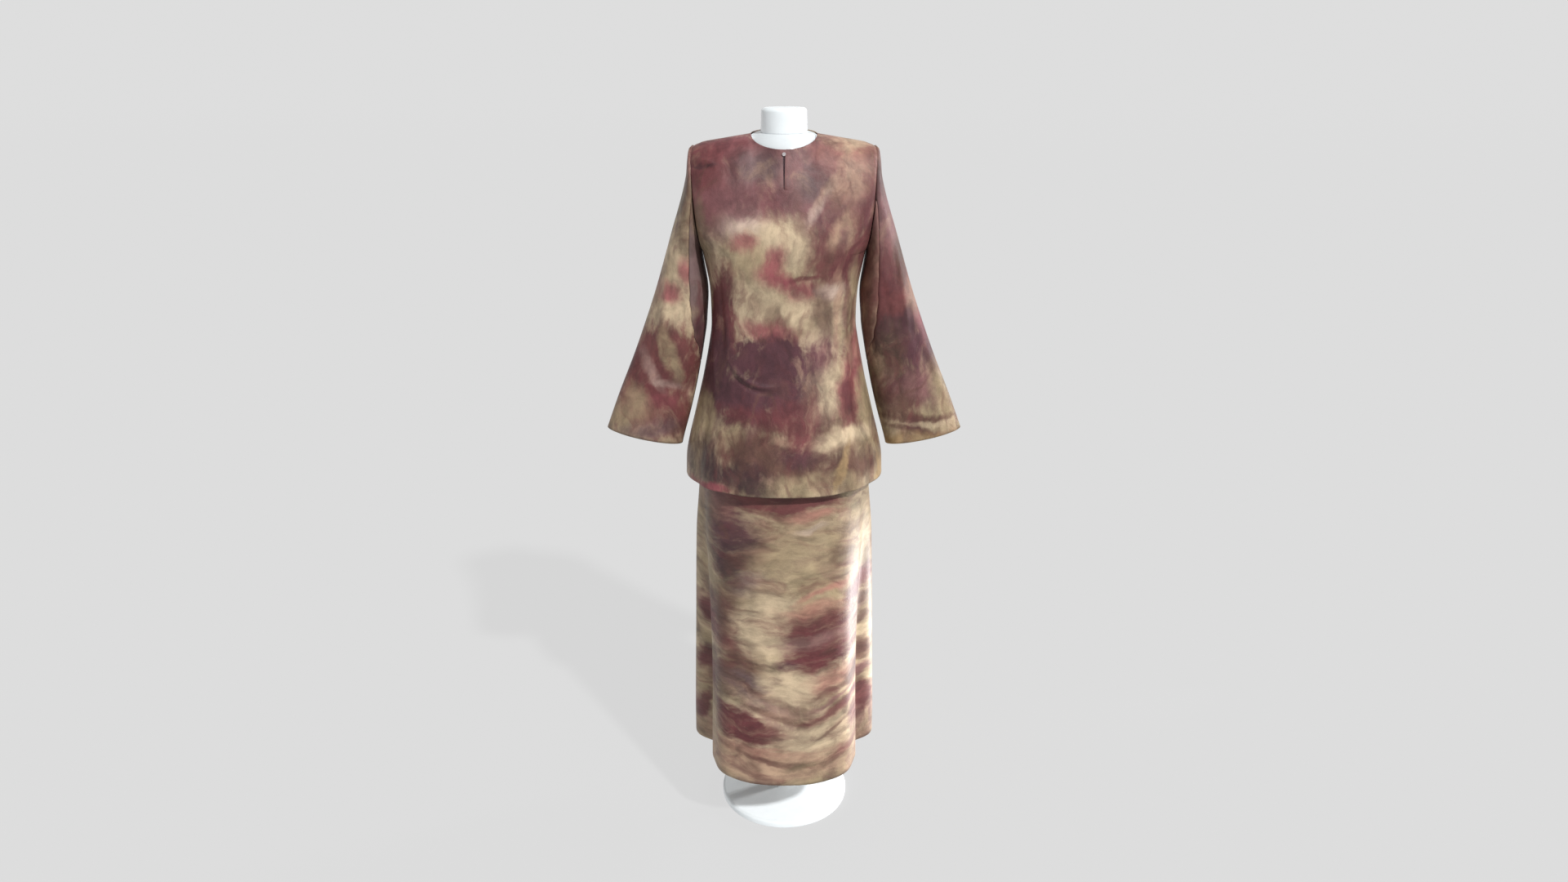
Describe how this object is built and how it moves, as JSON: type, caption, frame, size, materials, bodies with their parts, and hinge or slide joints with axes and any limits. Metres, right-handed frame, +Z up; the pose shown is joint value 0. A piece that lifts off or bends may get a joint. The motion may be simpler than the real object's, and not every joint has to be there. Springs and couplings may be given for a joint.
{
  "type": "baju kurung on a limbless dress form",
  "caption": "Baju kurung: loose long-sleeved tunic with a keyhole neck over a long folded skirt, worn by a limbless dress form on a round base.",
  "frame": {"origin": "middle of the round base's underside, which stands on the floor", "axes": "+Z up, -Y towards the garment's front, +X to the right of someone who looks at the front"},
  "size_m": [0.753, 0.4181, 1.58],
  "materials": {
    "dyed_satin": "satin",
    "pearl_button": "gloss",
    "gloss_white": "gloss"
  },
  "bodies": {
    "root": {"tunic_front": "dyed_satin", "tunic_back": "dyed_satin", "sleeve_left": "dyed_satin", "sleeve_right": "dyed_satin", "gusset_left": "dyed_satin", "gusset_right": "dyed_satin", "neck_button": "pearl_button", "skirt_front": "dyed_satin", "skirt_back": "dyed_satin", "skirt_waistband": "dyed_satin", "form_neck": "gloss_white", "form_torso": "gloss_white", "form_pole": "gloss_white", "form_base": "gloss_white"}
  },
  "joints": []
}
